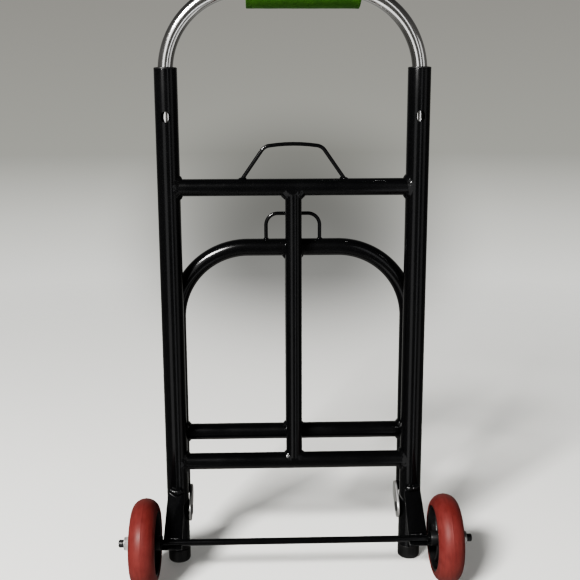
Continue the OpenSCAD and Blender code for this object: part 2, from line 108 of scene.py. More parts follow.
# Places and radii, from the frame
upright_x = middle("upright_right").x
upright_r = size("upright_right").x / 2
frame_y = middle("upright_right").y
upright_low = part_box("upright_right")[0].z
upright_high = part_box("upright_right")[1].z
top_bar_z = middle("top_crossbar").z
lower_bar_z = middle("lower_crossbar").z
crossbar_r = size("top_crossbar").z / 2
centre_tube_r = size("frame_centre_tube").x / 2
platform_y = middle("platform_arch").y
arch_r = size("platform_arch").y / 2
arch_x = size("platform_arch").x / 2 - arch_r
arch_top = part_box("platform_arch")[1].z - arch_r
arch_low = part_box("platform_arch")[0].z
platform_bar_z = middle("platform_crossbar").z
handle_r = size("handle_tube").y / 2
handle_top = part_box("handle_tube")[1].z - handle_r
handle_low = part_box("handle_tube")[0].z
button_z = middle("snap_button_right").z
hole_z = button_z + HANDLE_TRAVEL
axle_y = middle("axle_rod").y
axle_z = middle("axle_rod").z
axle_r = size("axle_rod").z / 2
wheel_x = middle("tyre_right").x
wheel_r = size("tyre_right").z / 2
tyre_half = size("tyre_right").x / 2
pivot_z = middle("pivot_rivets").z
strap_x = abs(middle("axle_strap_right").x)
strap_half = size("axle_strap_right").x / 2


# Meshes --------------------------------------------------------------------------------------


def skin(bm, rings, closed=False):
    """Quads between neighbouring rings of points; closed also joins the last ring to the first,
    and otherwise both ends get a cap."""
    loops = [[bm.verts.new(p) for p in ring] for ring in rings]
    count = len(rings[0])
    pairs = list(zip(loops, loops[1:]))
    if closed:
        pairs.append((loops[-1], loops[0]))
    for a, b in pairs:
        for i in range(count):
            j = (i + 1) % count
            bm.faces.new((a[i], a[j], b[j], b[i]))
    if not closed:
        bm.faces.new(loops[0])
        bm.faces.new(loops[-1])


def smooth(mesh, sharp_angle):
    mesh.shade_smooth()
    mesh.set_sharp_from_angle(angle=math.radians(sharp_angle))


def piece(name, bm, material, body, nodes, sharp_angle=38):
    """A finished mesh as a named piece that rides on a body and stands for CAD nodes."""
    bmesh.ops.recalc_face_normals(bm, faces=bm.faces)
    mesh = bpy.data.meshes.new(name)
    bm.to_mesh(mesh)
    bm.free()
    smooth(mesh, sharp_angle)
    obj = bpy.data.objects.new(name, mesh)
    bpy.context.scene.collection.objects.link(obj)
    mesh.materials.append(material)
    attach(obj, body)
    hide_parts(*nodes)
    return obj


def tool(bm):
    """A mesh used only to cut or join another piece."""
    bmesh.ops.recalc_face_normals(bm, faces=bm.faces)
    mesh = bpy.data.meshes.new("tool")
    bm.to_mesh(mesh)
    bm.free()
    obj = bpy.data.objects.new("tool", mesh)
    bpy.context.scene.collection.objects.link(obj)
    return obj


def combine(obj, other, operation, sharp_angle=38):
    """Cuts other from obj, or joins it, and deletes other."""
    change = obj.modifiers.new("combine", "BOOLEAN")
    change.object = other
    change.operation = operation
    change.solver = "EXACT"
    result = obj.evaluated_get(bpy.context.evaluated_depsgraph_get())
    mesh = bpy.data.meshes.new_from_object(result)
    obj.modifiers.clear()
    obj.data = mesh
    smooth(mesh, sharp_angle)
    bpy.data.objects.remove(other)


def circle_points(centre, u, v, radius, count):
    turns = [2 * math.pi * i / count for i in range(count)]
    return [centre + radius * (math.cos(t) * u + math.sin(t) * v) for t in turns]


def lathe(bm, profile, centre, axis, count=96, closed=True):
    """Revolves a profile of (distance along the axis, radius) points about the axis."""
    u = axis.orthogonal().normalized()
    v = axis.cross(u)
    rings = [circle_points(centre + axis * along, u, v, radius, count) for along, radius in profile]
    skin(bm, rings, closed)


def solid_lathe(bm, profile, centre, axis, count=64):
    """Revolves an open profile whose ends are small circles, closed by caps."""
    lathe(bm, profile, centre, axis, count, closed=False)


def rounded(corners, radii, steps=4):
    """The closed outline of corners, with corner i rounded to radii[i]."""
    points = []
    count = len(corners)
    for i, corner in enumerate(corners):
        here = Vector(corner)
        if radii[i] == 0:
            points.append(tuple(here))
            continue
        before = (Vector(corners[i - 1]) - here).normalized()
        after = (Vector(corners[(i + 1) % count]) - here).normalized()
        half = before.angle(after) / 2
        centre = here + (before + after).normalized() * (radii[i] / math.sin(half))
        start = here + before * (radii[i] / math.tan(half)) - centre
        turn = (math.pi - 2 * half) * (1 if before.cross(after) < 0 else -1)
        for k in range(steps + 1):
            points.append(tuple(centre + Matrix.Rotation(turn * k / steps, 2) @ start))
    return points


def drive(x, z, heading, moves, turn_step=math.radians(3)):
    """The stations (x, z, heading) of a path in the XZ plane. Each move is a straight length, then
    a right turn of some angle at some radius. A heading is measured from +X towards +Z."""
    stations = [(x, z, heading)]
    for length, radius, angle in moves:
        x += length * math.cos(heading)
        z += length * math.sin(heading)
        if length > 0:
            stations.append((x, z, heading))
        steps = math.ceil(angle / turn_step)
        centre_x = x + radius * math.sin(heading)
        centre_z = z - radius * math.cos(heading)
        for i in range(steps):
            heading -= angle / steps
            x = centre_x - radius * math.sin(heading)
            z = centre_z + radius * math.cos(heading)
            stations.append((x, z, heading))
    return stations


def path_ring(station, y, radius, count, ahead=0.0):
    """A circle square to the path, moved ahead along it."""
    x, z, heading = station
    along = Vector((math.cos(heading), 0, math.sin(heading)))
    up = Vector((-math.sin(heading), 0, math.cos(heading)))
    return circle_points(Vector((x, y, z)) + along * ahead, Y_AXIS, up, radius, count)


def sweep_tube(bm, stations, y, radius, bore=0.0, count=64, lip=0.3 * MM):
    """A bar or, with a bore, a tube along the stations, with slightly rounded end edges."""
    quarter = [math.pi / 2 * k / 3 for k in range(3)]
    first = [path_ring(stations[0], y, radius - lip + lip * math.sin(t), count, lip - lip * math.cos(t))
             for t in quarter]
    last = [path_ring(stations[-1], y, radius - lip + lip * math.sin(t), count,
                      lip * math.cos(t) - lip) for t in reversed(quarter)]
    inner = stations[1:-1]
    start = path_ring(stations[0], y, radius, count, lip)
    end = path_ring(stations[-1], y, radius, count, -lip)
    outside = first + [start] + [path_ring(s, y, radius, count) for s in inner] + [end] + last
    if bore > 0:
        inside = [path_ring(s, y, bore, count) for s in reversed(stations)]
        skin(bm, outside + inside, closed=True)
    else:
        skin(bm, outside)


def coped_tube(bm, centre, axis, reach_low, reach_high, radius, post_low_r, post_high_r, count=64):
    """A tube from centre - axis * reach_low to centre + axis * reach_high, where each end is cut to
    fit on a round bar. Both bars are square to the tube, and neither runs along Y."""
    third = axis.cross(Y_AXIS)
    inset = [0, 0.04, 0.5, 0.96, 1]

    def ring(share, r):
        points = []
        for i in range(count):
            t = 2 * math.pi * i / count
            y = r * math.cos(t)
            low = -reach_low + math.sqrt(post_low_r ** 2 - y ** 2)
            high = reach_high - math.sqrt(post_high_r ** 2 - y ** 2)
            along = low + (high - low) * share
            points.append(centre + axis * along + Vector((0, y, 0)) + third * (r * math.sin(t)))
        return points

    outside = [ring(share, radius) for share in inset]
    inside = [ring(share, radius - WALL) for share in reversed(inset)]
    skin(bm, outside + inside, closed=True)


# Weld beads ----------------------------------------------------------------------------------


def wobble(point, grain):
    """Smooth noise from -1 to 1 that changes over about one grain."""
    return noise.noise(point / grain)


def bead(bm, spine, radius, ripples, closed=False, count=16):
    """A weld bead along a spine of points: a thick thread whose ripples lean over one another."""
    rings = []
    last = len(spine) - 1
    for i, point in enumerate(spine):
        before = spine[i - 1] if i > 0 or closed else point
        after = spine[(i + 1) % len(spine)] if i < last or closed else point
        along = (after - before).normalized()
        u = along.orthogonal().normalized() if not rings else (u - along * u.dot(along)).normalized()
        v = along.cross(u)
        share = i / (last + 1 if closed else last)
        taper = 1.0
        if not closed:
            taper = max(0.12, math.sqrt(1 - abs(2 * share - 1) ** 6))
        ring = []
        for k in range(count):
            t = 2 * math.pi * k / count
            out = math.cos(t) * u + math.sin(t) * v
            phase = ripples * share * 2 * math.pi
            ripple = 0.07 * (1 - abs(math.sin(phase / 2)) ** 3)
            lumps = 0.16 * wobble(point, 5 * MM) + 0.10 * wobble(point + out * radius, 2.2 * MM)
            ring.append(point + out * radius * taper * (1 + ripple + lumps))
        rings.append(ring)
    skin(bm, rings, closed=closed)


def fillet(bm, foot, axis, post_axis, bar_r, post_r, on_post, on_bar, ripples):
    """The weld round a bar that leaves a round post at foot, which is on the post's axis. The weld
    reaches on_post along the post and on_bar along the bar."""
    third = axis.cross(Y_AXIS)
    flat_axis = axis - post_axis * axis.dot(post_axis)
    root = 0.8 * MM
    steps = 168
    rings = []
    for i in range(steps):
        t = 2 * math.pi * i / steps
        out = Vector((0, math.cos(t), 0)) + third * math.sin(t)
        start = out * bar_r
        flat_start = start - post_axis * start.dot(post_axis)
        b = flat_start.dot(flat_axis)
        c = flat_start.length_squared - post_r ** 2
        rise = (math.sqrt(b * b - flat_axis.length_squared * c) - b) / flat_axis.length_squared
        corner = start + axis * rise
        normal = (corner - post_axis * corner.dot(post_axis)) / post_r
        outward = (out - normal * out.dot(normal)).normalized()
        grow = 1 + 0.25 * wobble(foot + corner, 3.2 * MM)
        low = corner + outward * on_post * grow
        round_low = low - post_axis * low.dot(post_axis)
        low += round_low * (post_r / round_low.length - 1)
        high = corner + axis * on_bar * grow
        ring = [foot + corner - axis * root - out * root]
        for k in range(8):
            share = k / 7
            point = low.lerp(high, share)
            away = (point - corner).normalized()
            middle_share = 4 * share * (1 - share)
            lump = 0.34 * wobble(foot + point, 1.5 * MM) + 0.16 * math.cos(ripples * t + 2 * share)
            swell = middle_share * (0.10 + lump) - 0.12 * (1 - middle_share)
            ring.append(foot + point + away * MM * swell)
        rings.append(ring)
    skin(bm, rings, closed=True)


# Materials -----------------------------------------------------------------------------------


class Graph:
    """A small helper that adds and links nodes."""

    def __init__(self, tree):
        self.tree = tree

    def spread(self, value, low, high, out_low=0.0, out_high=1.0, shape="LINEAR"):
        """Takes low..high of a value to out_low..out_high, clamped."""
        node = self.tree.nodes.new("ShaderNodeMapRange")
        node.interpolation_type = shape
        self.tree.links.new(value, node.inputs["Value"])
        for name, number in (("From Min", low), ("From Max", high),
                             ("To Min", out_low), ("To Max", out_high)):
            node.inputs[name].default_value = number
        return node.outputs["Result"]

    def blend(self, share, first, second):
        """A colour between two colours; each may be a colour or the output of another node."""
        node = self.tree.nodes.new("ShaderNodeMix")
        node.data_type = "RGBA"
        self.tree.links.new(share, node.inputs["Factor"])
        for socket, colour in ((node.inputs[6], first), (node.inputs[7], second)):
            if isinstance(colour, bpy.types.NodeSocket):
                self.tree.links.new(colour, socket)
            else:
                socket.default_value = (*colour, 1)
        return node.outputs[2]

    def math(self, operation, first, second):
        node = self.tree.nodes.new("ShaderNodeMath")
        node.operation = operation
        for socket, value in zip(node.inputs, (first, second)):
            if isinstance(value, bpy.types.NodeSocket):
                self.tree.links.new(value, socket)
            else:
                socket.default_value = value
        return node.outputs["Value"]


class Shader(Graph):
    """The nodes of one new material."""

    def __init__(self, name):
        self.material = bpy.data.materials.new(name)
        self.material.use_nodes = True
        super().__init__(self.material.node_tree)
        self.surface = self.tree.nodes["Principled BSDF"]
        self.place = self.tree.nodes.new("ShaderNodeTexCoord").outputs["Object"]

    def set(self, **values):
        for name, value in values.items():
            socket = self.surface.inputs[name.replace("_", " ")]
            if isinstance(value, bpy.types.NodeSocket):
                self.tree.links.new(value, socket)
            else:
                socket.default_value = value

    def noise(self, scale, detail=3.0, roughness=0.55, stretch=(1, 1, 1)):
        """Noise with about scale features per metre, stretched by a factor along each axis."""
        mapping = self.tree.nodes.new("ShaderNodeMapping")
        mapping.inputs["Scale"].default_value = stretch
        self.tree.links.new(self.place, mapping.inputs["Vector"])
        node = self.tree.nodes.new("ShaderNodeTexNoise")
        node.inputs["Scale"].default_value = scale
        node.inputs["Detail"].default_value = detail
        node.inputs["Roughness"].default_value = roughness
        self.tree.links.new(mapping.outputs["Vector"], node.inputs["Vector"])
        return node.outputs["Fac"]

    def cells(self, scale):
        """Distances to the nearest of scattered points, scale of them per metre."""
        node = self.tree.nodes.new("ShaderNodeTexVoronoi")
        node.inputs["Scale"].default_value = scale
        self.tree.links.new(self.place, node.inputs["Vector"])
        return node.outputs["Distance"]

    def edges(self):
        """High on outer edges, low in inner corners."""
        return self.tree.nodes.new("ShaderNodeNewGeometry").outputs["Pointiness"]

    def bump(self, *layers):
        """Each layer is (height, depth in metres); all are added up in order."""
        normal = None
        for height, depth in layers:
            node = self.tree.nodes.new("ShaderNodeBump")
            node.inputs["Strength"].default_value = 1.0
            node.inputs["Distance"].default_value = depth
            self.tree.links.new(height, node.inputs["Height"])
            if normal is not None:
                self.tree.links.new(normal, node.inputs["Normal"])
            normal = node.outputs["Normal"]
        self.tree.links.new(normal, self.surface.inputs["Normal"])


def black_enamel():
    """Stoved gloss black paint with faint orange peel, fine dust and a few dull patches."""
    s = Shader("black_enamel")
    patches = s.noise(28, detail=4)
    peel = s.noise(420, detail=1.5)
    dust = s.spread(s.noise(2600, detail=1, roughness=0.4), 0.70, 0.78)
    colour = s.blend(patches, (0.0030, 0.0031, 0.0035), (0.0050, 0.0051, 0.0056))
    dulled = s.math("MULTIPLY", dust, 0.2)
    s.set(Base_Color=s.blend(dust, colour, (0.03, 0.03, 0.03)), Specular_IOR_Level=0.40,
          Roughness=s.math("ADD", s.spread(patches, 0.3, 0.7, 0.15, 0.22), dulled))
    s.bump((peel, 0.000004), (patches, 0.00003))
    return s.material


def chrome():
    """Bright plating with faint lengthwise polishing marks and slight waviness."""
    s = Shader("chrome")
    waves = s.noise(130, detail=2)
    haze = s.noise(900, detail=3, stretch=(1, 1, 0.25))
    s.set(Base_Color=s.blend(s.noise(45), (0.62, 0.62, 0.61), (0.72, 0.72, 0.72)), Metallic=1.0,
          Roughness=s.spread(haze, 0.35, 0.7, 0.10, 0.18))
    s.bump((waves, 0.000014), (haze, 0.000001))
    return s.material


def zinc():
    """Dull zinc plating: a fine mottled grey that is brighter on worn edges."""
    s = Shader("zinc")
    spangle = s.cells(700)
    stains = s.noise(90, detail=5)
    tone = s.blend(stains, (0.28, 0.28, 0.275), (0.52, 0.52, 0.51))
    worn = s.spread(s.edges(), 0.52, 0.60)
    s.set(Base_Color=s.blend(worn, tone, (0.75, 0.75, 0.74)), Metallic=0.95,
          Roughness=s.spread(stains, 0.3, 0.7, 0.42, 0.60))
    s.bump((spangle, 0.00002), (s.noise(1500, detail=2), 0.000012))
    return s.material


def green_foam():
    """Closed-cell foam rubber with a matt, finely pitted skin."""
    s = Shader("green_foam")
    mottle = s.noise(60, detail=5, roughness=0.6)
    pits = s.cells(1500)
    colour = s.blend(s.spread(mottle, 0.3, 0.7), (0.025, 0.080, 0.009), (0.041, 0.115, 0.014))
    # Painted shade: the colour is darker in the pits of the skin, where shade would fall.
    pitted = s.blend(s.spread(pits, 0.0, 0.35), (0.017, 0.053, 0.006), colour)
    s.set(Base_Color=pitted, Roughness=0.85, Specular_IOR_Level=0.15,
          Sheen_Weight=0.06, Sheen_Roughness=0.5)
    s.bump((pits, 0.00018), (s.noise(420, detail=4), 0.00022))
    return s.material


def red_tyre():
    """Smooth moulded rubber, a little chalky, with dust and faint scuffs on the tread."""
    s = Shader("red_tyre")
    cloud = s.noise(38, detail=5, roughness=0.6)
    streaks = s.noise(160, detail=3, stretch=(2.2, 0.5, 0.5))
    base = s.blend(s.spread(cloud, 0.3, 0.7), (0.122, 0.022, 0.019), (0.150, 0.032, 0.028))
    colour = s.blend(s.spread(streaks, 0.45, 0.75, 0.0, 0.5), base, (0.090, 0.015, 0.013))
    dust = s.spread(s.noise(1900, detail=2), 0.66, 0.80, 0.0, 0.35)
    s.set(Base_Color=s.blend(dust, colour, (0.22, 0.11, 0.10)), Specular_IOR_Level=0.24,
          Roughness=s.spread(cloud, 0.3, 0.7, 0.46, 0.56))
    s.bump((s.noise(700, detail=3), 0.00003), (streaks, 0.00006))
    return s.material


def moulded_black():
    """Moulded black plastic with a fine grain."""
    s = Shader("moulded_black")
    grain = s.noise(1800, detail=2)
    cloud = s.noise(70, detail=4)
    s.set(Base_Color=s.blend(cloud, (0.008, 0.008, 0.0085), (0.016, 0.016, 0.0165)),
          Roughness=s.spread(cloud, 0.3, 0.7, 0.30, 0.44), Specular_IOR_Level=0.5)
    s.bump((grain, 0.000015))
    return s.material


def foot_rubber():
    """Black rubber, matt, with pale scuffs near the floor."""
    s = Shader("foot_rubber")
    scuffs = s.noise(260, detail=5, roughness=0.7, stretch=(1, 1, 2.5))
    height = s.tree.nodes.new("ShaderNodeSeparateXYZ")
    s.tree.links.new(s.place, height.inputs["Vector"])
    low = s.spread(height.outputs["Z"], 0.001, 0.010, 1.0, 0.0)
    worn = s.math("MULTIPLY", low, s.spread(scuffs, 0.5, 0.75))
    s.set(Base_Color=s.blend(worn, (0.011, 0.011, 0.011), (0.075, 0.072, 0.068)),
          Roughness=s.spread(scuffs, 0.3, 0.8, 0.42, 0.62), Specular_IOR_Level=0.45)
    s.bump((scuffs, 0.00005), (s.noise(2200, detail=2), 0.00002))
    return s.material


def black_rivet():
    """Blackened steel with a slight sheen."""
    s = Shader("black_rivet")
    cloud = s.noise(400, detail=4)
    s.set(Base_Color=s.blend(cloud, (0.012, 0.012, 0.013), (0.035, 0.034, 0.034)), Metallic=0.4,
          Roughness=s.spread(cloud, 0.3, 0.7, 0.28, 0.45))
    s.bump((cloud, 0.00003))
    return s.material


def spring_steel():
    s = Shader("spring_steel")
    lines = s.noise(500, detail=3, stretch=(1, 1, 0.1))
    s.set(Base_Color=s.blend(lines, (0.32, 0.32, 0.33), (0.52, 0.52, 0.53)), Metallic=1.0,
          Roughness=s.spread(lines, 0.3, 0.7, 0.25, 0.40))
    s.bump((lines, 0.00001))
    return s.material


enamel = black_enamel()
plating = chrome()
zinc_plate = zinc()
foam = green_foam()
tread_rubber = red_tyre()
plastic = moulded_black()
rubber = foot_rubber()
rivet_black = black_rivet()
spring = spring_steel()


# Frame ---------------------------------------------------------------------------------------


def cylinder(start, axis, length, radius, count=48):
    """A plain cylinder to cut with."""
    bm = bmesh.new()
    solid_lathe(bm, [(0, radius), (length, radius)], start, axis, count)
    return tool(bm)


def upright(name, side):
    """A tube with a hole for the snap button in its rear wall. Extra rings round the hole keep the
    wall smooth there."""
    x = side * upright_x
    near = [hole_z + k * 2.2 * MM for k in range(-5, 6)]
    heights = [upright_low, *near, upright_high]
    stations = [(x, z, math.pi / 2) for z in heights]
    bm = bmesh.new()
    sweep_tube(bm, stations, frame_y, upright_r, upright_r - WALL, count=96, lip=0.4 * MM)
    obj = piece(f"{name}_upright_tube", bm, enamel, "frame", [f"upright_{name}"])
    for rise in (-HOLE_STRETCH, HOLE_STRETCH):
        start = Vector((x, frame_y - 2 * upright_r, hole_z + rise))
        combine(obj, cylinder(start, Y_AXIS, 2 * upright_r, BUTTON_HOLE_R), "DIFFERENCE")


def crossbar(piece_name, node, body, y, z, reach, post_r):
    bm = bmesh.new()
    coped_tube(bm, Vector((0, y, z)), X_AXIS, reach, reach, crossbar_r, post_r, post_r)
    piece(piece_name, bm, enamel, body, [node])


def centre_tube(piece_name, node, body, y, low, high, high_bar_r):
    bm = bmesh.new()
    coped_tube(bm, Vector((0, y, 0)), Z_AXIS, -low, high, centre_tube_r,
               crossbar_r, high_bar_r)
    piece(piece_name, bm, enamel, body, [node])


def top_loop():
    """Two straight legs, two tight bends and an arched roof of wire."""
    wire_r = size("top_wire_loop").y / 2
    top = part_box("top_wire_loop")[1].z - wire_r
    foot = Vector((-(TOP_LOOP_BASE / 2 + crossbar_r * math.tan(TOP_LOOP_LEAN)), top_bar_z))
    roof_centre = Vector((0, top - TOP_LOOP_ROOF_R))
    normal = Vector((-math.cos(TOP_LOOP_LEAN), math.sin(TOP_LOOP_LEAN)))
    reach = TOP_LOOP_ROOF_R - TOP_LOOP_BEND_R
    roof_half = math.asin(((foot - roof_centre).dot(normal) - TOP_LOOP_BEND_R) / reach) - TOP_LOOP_LEAN
    bend_centre = roof_centre + reach * Vector((-math.sin(roof_half), math.cos(roof_half)))
    leg = (bend_centre + TOP_LOOP_BEND_R * normal - foot).length
    bend = math.pi / 2 - roof_half - TOP_LOOP_LEAN
    moves = [(leg, TOP_LOOP_BEND_R, bend), (0, TOP_LOOP_ROOF_R, 2 * roof_half),
             (0, TOP_LOOP_BEND_R, bend), (leg, 0, 0)]
    bm = bmesh.new()
    sweep_tube(bm, drive(foot.x, foot.y, math.pi / 2 - TOP_LOOP_LEAN, moves), frame_y, wire_r, count=32)
    piece("cord_loop_top", bm, enamel, "frame", ["top_wire_loop"])
    return foot


def tip_loop():
    wire_r = size("platform_tip_loop").y / 2
    leg_x = size("platform_tip_loop").x / 2 - wire_r
    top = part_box("platform_tip_loop")[1].z - wire_r
    leg = top - TIP_LOOP_BEND_R - arch_top
    roof = 2 * (leg_x - TIP_LOOP_BEND_R)
    moves = [(leg, TIP_LOOP_BEND_R, math.pi / 2), (roof, TIP_LOOP_BEND_R, math.pi / 2),
             (leg, 0, 0)]
    bm = bmesh.new()
    sweep_tube(bm, drive(-leg_x, arch_top, math.pi / 2, moves), platform_y, wire_r, count=32)
    piece("cord_loop_tip", bm, enamel, "platform", ["platform_tip_loop"])
    return leg_x


def bent_tube_stations(reach, low, top, bend_r):
    leg = top - bend_r - low
    moves = [(leg, bend_r, math.pi / 2), (2 * (reach - bend_r), bend_r, math.pi / 2), (leg, 0, 0)]
    return drive(-reach, low, math.pi / 2, moves, math.radians(2))


def strap_slope():
    """The angle of the strap's straight run above level, and its unit vector up the slope."""
    run = Vector((frame_y - upright_r - axle_y, STRAP_TOP - axle_z))
    angle = math.atan2(run.y, run.x) + math.asin(axle_r / run.length)
    return angle, Vector((0, math.cos(angle), math.sin(angle)))


def strap(name, side):
    """A flat bar with eased edges, hooked under the axle and cut to fit the upright."""
    angle, up = strap_slope()
    out = Vector((0, math.sin(angle), -math.cos(angle)))
    axle = Vector((0, axle_y, axle_z))
    outer = axle_r + STRAP_T
    steps = 12
    turns = [math.pi / 2 * k / steps for k in range(steps + 1)]
    inner_arc = [axle + axle_r * (out * math.cos(t) - up * math.sin(t)) for t in turns]
    outer_arc = [axle + outer * (out * math.cos(t) - up * math.sin(t)) for t in turns]
    far = up * 2.2 * (frame_y - axle_y)
    outline = [inner_arc[0] + far, *inner_arc, *reversed(outer_arc), outer_arc[0] + far]
    bm = bmesh.new()
    low = side * strap_x - strap_half
    face = bm.faces.new([bm.verts.new(p + Vector((low, 0, 0))) for p in outline])
    grown = bmesh.ops.extrude_face_region(bm, geom=[face])
    moved = [v for v in grown["geom"] if isinstance(v, bmesh.types.BMVert)]
    bmesh.ops.translate(bm, verts=moved, vec=Vector((2 * strap_half, 0, 0)))
    for v in bm.verts:
        if abs(v.co.x) > strap_x and v.co.y > axle_y:
            share = (v.co.y - axle_y) / (frame_y - upright_r - axle_y)
            v.co.x -= side * STRAP_TAPER * share
    bmesh.ops.recalc_face_normals(bm, faces=bm.faces)
    corners = [e for e in bm.edges if e.calc_face_angle(0) > math.radians(50)]
    bmesh.ops.bevel(bm, geom=corners, offset=0.7 * MM, segments=3, affect="EDGES", profile=0.5)
    obj = piece(f"{name}_axle_strap", bm, enamel, "frame", [f"axle_strap_{name}"], sharp_angle=50)
    behind = 4 * upright_r
    cutter = cylinder(Vector((side * upright_x, frame_y, 0)), Z_AXIS, 0.3, upright_r, 96)
    combine(obj, cutter, "DIFFERENCE", sharp_angle=50)
    bm = bmesh.new()
    bmesh.ops.create_cube(bm, size=1)
    bmesh.ops.scale(bm, vec=Vector((behind, behind, 0.4)), verts=bm.verts)
    bmesh.ops.translate(bm, vec=Vector((side * upright_x, frame_y + behind / 2, 0.2)), verts=bm.verts)
    combine(obj, tool(bm), "DIFFERENCE", sharp_angle=50)


def strap_beads(bm, side):
    """The bead along the corner between strap and upright, and the one between strap and axle."""
    angle, up = strap_slope()
    face_out = Vector((0, -math.sin(angle), math.cos(angle)))
    start = Vector((0, axle_y, axle_z)) + face_out * -axle_r
    first = strap_x - strap_half + STRAP_BEAD_END
    width = 2 * (strap_half - STRAP_BEAD_END) - STRAP_TAPER
    upper = []
    steps = 40
    for i in range(steps + 1):
        across = first + width * i / steps
        offset = min(abs(across - upright_x), upright_r * 0.93)
        y = frame_y - math.sqrt(upright_r ** 2 - offset ** 2)
        climb = (y - start.y) / up.y
        upper.append(Vector((side * across, 0, 0)) + start + up * climb + face_out * 0.6 * MM)
    bead(bm, upper, 4.6 * MM, 7)
    low = []
    for i in range(steps + 1):
        across = first + width * i / steps
        low.append(Vector((side * across, 0, 0)) + start + up * 5.4 * MM + face_out * 1.6 * MM)
    bead(bm, low, 2.8 * MM, 8)


def frame_beads(loop_foot):
    bm = bmesh.new()
    for side in (LEFT, RIGHT):
        for z in (top_bar_z, lower_bar_z):
            fillet(bm, Vector((side * upright_x, frame_y, z)), -side * X_AXIS, Z_AXIS,
                   crossbar_r, upright_r, 4.6 * MM, 3.0 * MM, 21)
        foot = Vector((side * abs(loop_foot.x), frame_y, loop_foot.y))
        lean = Vector((-side * math.sin(TOP_LOOP_LEAN), 0, math.cos(TOP_LOOP_LEAN)))
        fillet(bm, foot, lean, X_AXIS, size("top_wire_loop").y / 2, crossbar_r, 2.6 * MM, 2.2 * MM, 7)
        strap_beads(bm, side)
    fillet(bm, Vector((0, frame_y, lower_bar_z)), Z_AXIS, X_AXIS, centre_tube_r, crossbar_r,
           3.2 * MM, 3.0 * MM, 17)
    fillet(bm, Vector((0, frame_y, top_bar_z)), -Z_AXIS, X_AXIS, centre_tube_r, crossbar_r,
           5.4 * MM, 5.0 * MM, 19)
    piece("frame_weld_beads", bm, enamel, "frame", ["frame_welds"], sharp_angle=70)


def foot(name, side):
    """A rubber plug whose head rounds off to a flat base; its stem is inside the upright."""
    low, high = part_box(f"foot_{name}")
    head_r = (high.x - low.x) / 2
    head_h = upright_low
    stem_r = upright_r - WALL - FIT
    core_r = 3 * MM
    corners = [(0, core_r), (0, head_r), (head_h, head_r), (head_h, stem_r), (high.z, stem_r),
               (high.z, core_r)]
    radii = [0, 4 * MM, 0.9 * MM, 0, 1 * MM, 0]
    bm = bmesh.new()
    base = Vector((side * upright_x, frame_y, 0))
    solid_lathe(bm, rounded(corners, radii, 6), base, Z_AXIS, 96)
    piece(f"{name}_rubber_foot", bm, rubber, "frame", [f"foot_{name}"])


def guide_bush(name, side):
    """A flanged plastic bush with an eased mouth round the handle."""
    low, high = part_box(f"guide_bush_{name}")
    bore = handle_r + FIT
    body_r = upright_r - WALL - FIT
    corners = [(low.z, bore), (low.z, body_r), (upright_high, body_r), (upright_high, upright_r),
               (high.z, upright_r), (high.z, bore)]
    radii = [0, 0.5 * MM, 0, 0.3 * MM, 1.0 * MM, 1.2 * MM]
    bm = bmesh.new()
    lathe(bm, rounded(corners, radii, 4), Vector((side * upright_x, frame_y, 0)), Z_AXIS)
    piece(f"{name}_guide_bush", bm, plastic, "frame", [f"guide_bush_{name}"])


def pivot_rivets():
    """Two rivets with a flat thin head inside and a domed tail outside."""
    bm = bmesh.new()
    low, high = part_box("pivot_rivets")
    head_r = (high.z - low.z) / 2
    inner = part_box("hinge_plate_right")[0].x - 0.1 * MM
    outer = upright_x + upright_r
    for side in (LEFT, RIGHT):
        centre = Vector((0, frame_y, pivot_z))
        head = inner - 1.2 * MM
        tail = high.x
        profile = [(head, 0.5 * MM), (head, head_r - 1.4 * MM), (head + 0.3 * MM, head_r - 0.5 * MM),
                   (head + 0.8 * MM, head_r), (inner, head_r), (inner, RIVET_R), (outer, RIVET_R),
                   (outer, head_r), (outer + 0.5 * MM, head_r - 0.1 * MM)]
        for k in range(1, 7):
            t = math.pi / 2 * k / 6
            profile.append((outer + 0.5 * MM + (tail - outer - 0.5 * MM) * math.sin(t),
                            max(head_r * math.cos(t), PIN_R)))
        solid_lathe(bm, profile, centre, Vector((side, 0, 0)), 48)
    piece("hinge_rivets", bm, rivet_black, "frame", ["pivot_rivets"])


# Axle ----------------------------------------------------------------------------------------


def axle_rod():
    low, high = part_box("axle_rod")
    bm = bmesh.new()
    stations = [(low.x + (high.x - low.x) * k / 8, axle_z, 0) for k in range(9)]
    sweep_tube(bm, stations, axle_y, axle_r, count=48, lip=0.8 * MM)
    piece("axle_shaft", bm, enamel, "frame", ["axle_rod"])


def axle_washers():
    """A black washer between each strap and its wheel, and a plated one under each nut, all
    punched and slightly rounded on one side."""
    outer = size("axle_washers").z / 2
    hole = axle_r + 0.1 * MM
    strap_edge = strap_x + strap_half + 0.2 * MM
    nut_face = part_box("axle_nuts")[1].x - NUT_H
    kinds = (("strap_washers", strap_edge, enamel), ("nut_washers", nut_face - WASHER_T, zinc_plate))
    for name, start, material in kinds:
        bm = bmesh.new()
        for side in (LEFT, RIGHT):
            end = start + WASHER_T
            corners = [(start, hole), (start, outer), (end, outer), (end, hole)]
            profile = rounded(corners, [0.2 * MM, 0.2 * MM, 0.5 * MM, 0.3 * MM], 3)
            lathe(bm, profile, Vector((0, axle_y, axle_z)), Vector((side, 0, 0)), 72)
        piece(name, bm, material, "frame", ["axle_washers"])


